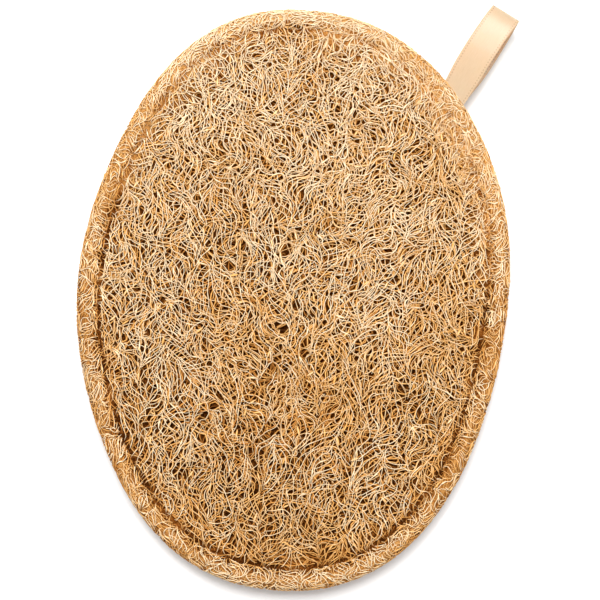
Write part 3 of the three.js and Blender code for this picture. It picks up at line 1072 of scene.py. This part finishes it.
def loofah(node, crown, looks, strand, matted):
    """One layer: its mat, and a piece for each kind and depth of strand."""

    def dress(kind, bundle):
        name = f"{node}_{kind}"
        piece(name, bundle.mesh(name), strand, node)

    def seeded(number):
        return np.random.default_rng(looks["seed"] + number)

    rim = Rim(crown.side)
    mat(f"{node}_mat", crown, rim, looks["spokes"], seeded(0), node, matted)
    rng = seeded(5)
    holes, pits = crown_holes(rng), rim_holes(rim, rng)
    for i, look in enumerate(looks["crown"]):
        dress(f"web_{i + 1}", crown_net(crown, look, holes, seeded(10 + i)).bundle())
    for i, look in enumerate(looks["rim"]):
        dress(f"rim_{i + 1}", rim_net(rim, look, pits, seeded(20 + i)).bundle())
    rng = seeded(30)
    dress("knots", knots(crown, looks["knots"], looks["crown"][0]["radius"], rng))
    dress("strays", strays(crown, rim, looks["strays"], rng))
    dress("crease", creased(crown.side, looks["creased"], rng))


# Stitching and ribbon


def seam_thread(name, side, node, material):
    """Stitches that rise out of the groove and dip back into it."""
    sides, steps = 5, 6
    t = np.arange(STITCH_COUNT * steps) / steps
    angle = 2 * math.pi * t / STITCH_COUNT
    rise = np.abs(np.sin(math.pi * t)) ** 0.6
    height = PARTING_HEIGHT + side * (SEAM_HEIGHT - STITCH_SUNK + STITCH_RISE * rise)
    middle = polar(seam_radius(angle), angle, height)
    ahead = unit(np.roll(middle, -1, 0) - np.roll(middle, 1, 0))
    across = unit(np.cross(ahead, np.array([0, 0, 1.0])))
    up = np.cross(across, ahead)
    turn = 2 * math.pi * np.arange(sides) / sides
    ring = across[:, None] * np.cos(turn)[:, None] + up[:, None] * np.sin(turn)[:, None]
    coordinates = (middle[:, None] + THREAD_RADIUS * ring).reshape(-1, 3)
    index = np.arange(len(coordinates)).reshape(-1, sides)
    on, beside = np.roll(index, -1, 0), np.roll(index, -1, 1)
    faces = quads(index, on, np.roll(on, -1, 1), beside)
    piece(name, mesh_of(name, coordinates, [faces]), material, node)


def loop_path():
    """The ribbon's middle line from the end of its lower ply, round the fold and back: distance out from
    the pad's edge, and height above the parting."""
    half = EYE_HALF_HEIGHT + RIBBON_THICKNESS / 2
    rising = np.linspace(-LOOP_TAIL, LOOP_CREST, 60)
    tail = 0.6 * RIBBON_THICKNESS
    lift = tail + (half - tail) * smooth((rising + LOOP_LEAD) / (LOOP_CREST + LOOP_LEAD))
    turn = np.linspace(0, math.pi / 2, 40)[1:]
    share = np.sin(turn) ** (2 / 3)
    falling = LOOP_CREST + (LOOP_REACH - RIBBON_THICKNESS / 2 - LOOP_CREST) * share
    drop = half * np.sqrt(np.maximum(0, 1 - share**3))
    s = np.concatenate([rising, falling])
    z = np.concatenate([lift, drop])
    return np.concatenate([s, s[-2::-1]]), np.concatenate([-z, z[-2::-1]])


def ribbon_skins(path, across):
    """The ribbon's two faces: its plies bow apart sideways, and it is gathered and cupped at the pad."""
    s, z = path.T
    ahead = unit(np.gradient(path, axis=0))
    normal = np.stack([ahead[:, 1], -ahead[:, 0]], 1)
    upper = smooth((z / EYE_HALF_HEIGHT + 1) / 2)
    out = np.clip(s / LOOP_REACH, 0, 1)
    bow = np.sin(math.pi * out)
    shift = upper * 0.35 * MM * bow - (1 - upper) * 0.6 * MM * bow - 0.3 * MM * out**4
    gathered = 0.92 + 0.08 * smooth(s / (9 * MM))
    cupped = 0.25 * MM * (1 - smooth(s / (11 * MM)))
    for face in (0.5, -0.5):
        place = path + face * RIBBON_THICKNESS * normal
        grid = np.zeros((len(path), len(across), 3))
        grid[..., 0] = place[:, None, 0]
        grid[..., 1] = shift[:, None] + across * RIBBON_WIDTH * gathered[:, None]
        grid[..., 2] = place[:, None, 1] - cupped[:, None] * (2 * across) ** 2
        yield grid


def sheet_faces(rows, wide):
    """Faces of a closed sheet with two skins of points, in rows that are so many points wide."""
    outer, inner = np.arange(2 * rows * wide).reshape(2, rows, wide)
    return [
        quads(outer[:-1, :-1], outer[1:, :-1], outer[1:, 1:], outer[:-1, 1:]),
        quads(inner[:-1, :-1], inner[:-1, 1:], inner[1:, 1:], inner[1:, :-1]),
        quads(outer[:-1, 0], inner[:-1, 0], inner[1:, 0], outer[1:, 0]),
        quads(outer[:-1, -1], outer[1:, -1], inner[1:, -1], inner[:-1, -1]),
        quads(outer[0, :-1], outer[0, 1:], inner[0, 1:], inner[0, :-1]),
        quads(outer[-1, :-1], inner[-1, :-1], inner[-1, 1:], outer[-1, 1:]),
    ]


def ribbon_loop(material):
    path = np.stack(loop_path(), 1)
    run = runs_of(path)
    across = np.linspace(-0.5, 0.5, RIBBON_COLUMNS + 1)
    points = np.stack(list(ribbon_skins(path, across))).reshape(-1, 3)
    faces = sheet_faces(len(path), len(across))
    mesh = mesh_of("ribbon_loop", points, faces)
    set_values(mesh, "along", np.tile(np.repeat(run, len(across)), 2))
    set_values(mesh, "across", np.tile(across, 2 * len(path)))
    exit_point = Vector(polar(outline_radius(LOOP_EXIT_ANGLE), LOOP_EXIT_ANGLE, PARTING_HEIGHT))
    mesh.transform(Matrix.Translation(exit_point) @ Matrix.Rotation(LOOP_HEADING, 4, "Z"))
    made = piece("ribbon_loop", mesh, material, "hanging_loop")


# Stage. The photograph's lean is in radians, and its scale is a pixel's size on the pad

PHOTO_LEAN = 0.0731
PHOTO_TILT = math.radians(4)
PHOTO_SCALE = 0.316 * MM
PHOTO_CENTRE = (1.88 * MM, -1.42 * MM)
PHOTO_WIDTH = 600
CAMERA_LENS = 85
CAMERA_SENSOR = 36
FLOOR_REACH = 3.0
FLOOR_COLOUR = (0.85, 0.85, 0.85, 1)
FLOOR_GLOW = 0.1
WHITE = (1, 1, 1, 1)
WORLD_STRENGTH = 0.42
LIGHTS = (
    dict(name="key", right=-0.03, up=0.2, height=0.74, size=0.3, power=7.8),
    dict(name="fill", right=0.5, up=0.1, height=0.6, size=0.6, power=1.0),
    dict(name="sheen", right=0.22, up=0.38, height=0.68, size=0.22, power=1.6, shines=True),
)


def photo_axes():
    """The photograph's right and up directions on the pad's plane."""
    right = Vector((math.cos(PHOTO_LEAN), math.sin(PHOTO_LEAN), 0))
    up = Vector((-math.sin(PHOTO_LEAN), math.cos(PHOTO_LEAN), 0))
    return right, up


def add_camera():
    right, up = photo_axes()
    camera = bpy.data.cameras.new("camera")
    camera.lens = CAMERA_LENS
    camera.sensor_width = CAMERA_SENSOR
    distance = PHOTO_WIDTH * PHOTO_SCALE * camera.lens / camera.sensor_width
    target = right * PHOTO_CENTRE[0] + up * PHOTO_CENTRE[1] + Vector((0, 0, PARTING_HEIGHT))
    back = Vector((0, 0, 1)) * math.cos(PHOTO_TILT) - up * math.sin(PHOTO_TILT)
    rise = back.cross(right)
    turn = Matrix((right, rise, back)).transposed().to_4x4()
    made = new_object("camera", camera)
    made.matrix_world = Matrix.Translation(target + back * distance) @ turn
    bpy.context.scene.camera = made


def add_light(name, right, up, height, size, power, shines=False):
    """A soft light, or one that shows only as a shine."""
    to_right, to_top = photo_axes()
    place = to_top * up + to_right * right + Vector((0, 0, height))
    lamp = bpy.data.lights.new(name, "AREA")
    lamp.size = size
    lamp.energy = power
    made = new_object(name, lamp)
    made.location = place
    made.rotation_euler = (-place).to_track_quat("-Z", "Y").to_euler()
    made.visible_glossy = shines
    made.visible_diffuse = not shines


def add_stage():
    corners = np.array([[-1, -1, 0], [1, -1, 0], [1, 1, 0], [-1, 1, 0]]) * FLOOR_REACH
    mesh = mesh_of("floor", corners, [np.array([[0, 1, 2, 3]])], rounded=False)
    floor = new_object("floor", mesh)
    nodes = Nodes("pale_floor")
    nodes.set(Base_Color=FLOOR_COLOUR, Roughness=0.9, Specular_IOR_Level=0.0)
    nodes.set(Emission_Color=WHITE, Emission_Strength=FLOOR_GLOW)
    mesh.materials.append(nodes.material)
    for light in LIGHTS:
        add_light(**light)
    world = bpy.data.worlds.new("soft_white")
    world.use_nodes = True
    background = world.node_tree.nodes["Background"]
    background.inputs["Color"].default_value = WHITE
    background.inputs["Strength"].default_value = WORLD_STRENGTH
    bpy.context.scene.world = world
    bpy.context.scene.view_settings.view_transform = "Standard"


def main():
    add_camera()
    add_stage()
    strand, matted = strand_material(), mat_material()
    front = Crown(1, FRONT_CROWN, dent=FRONT_DENT)
    back = Crown(-1, BACK_CROWN, level_at=PARTING_HEIGHT)
    loofah("loofah_front", front, FRONT_LOOKS, strand, matted)
    loofah("loofah_back", back, BACK_LOOKS, strand, matted)
    thread = thread_material()
    seam_thread("needle_stitches", 1, "needle_thread", thread)
    seam_thread("bobbin_stitches", -1, "bobbin_thread", thread)
    ribbon_loop(satin_material())


main()
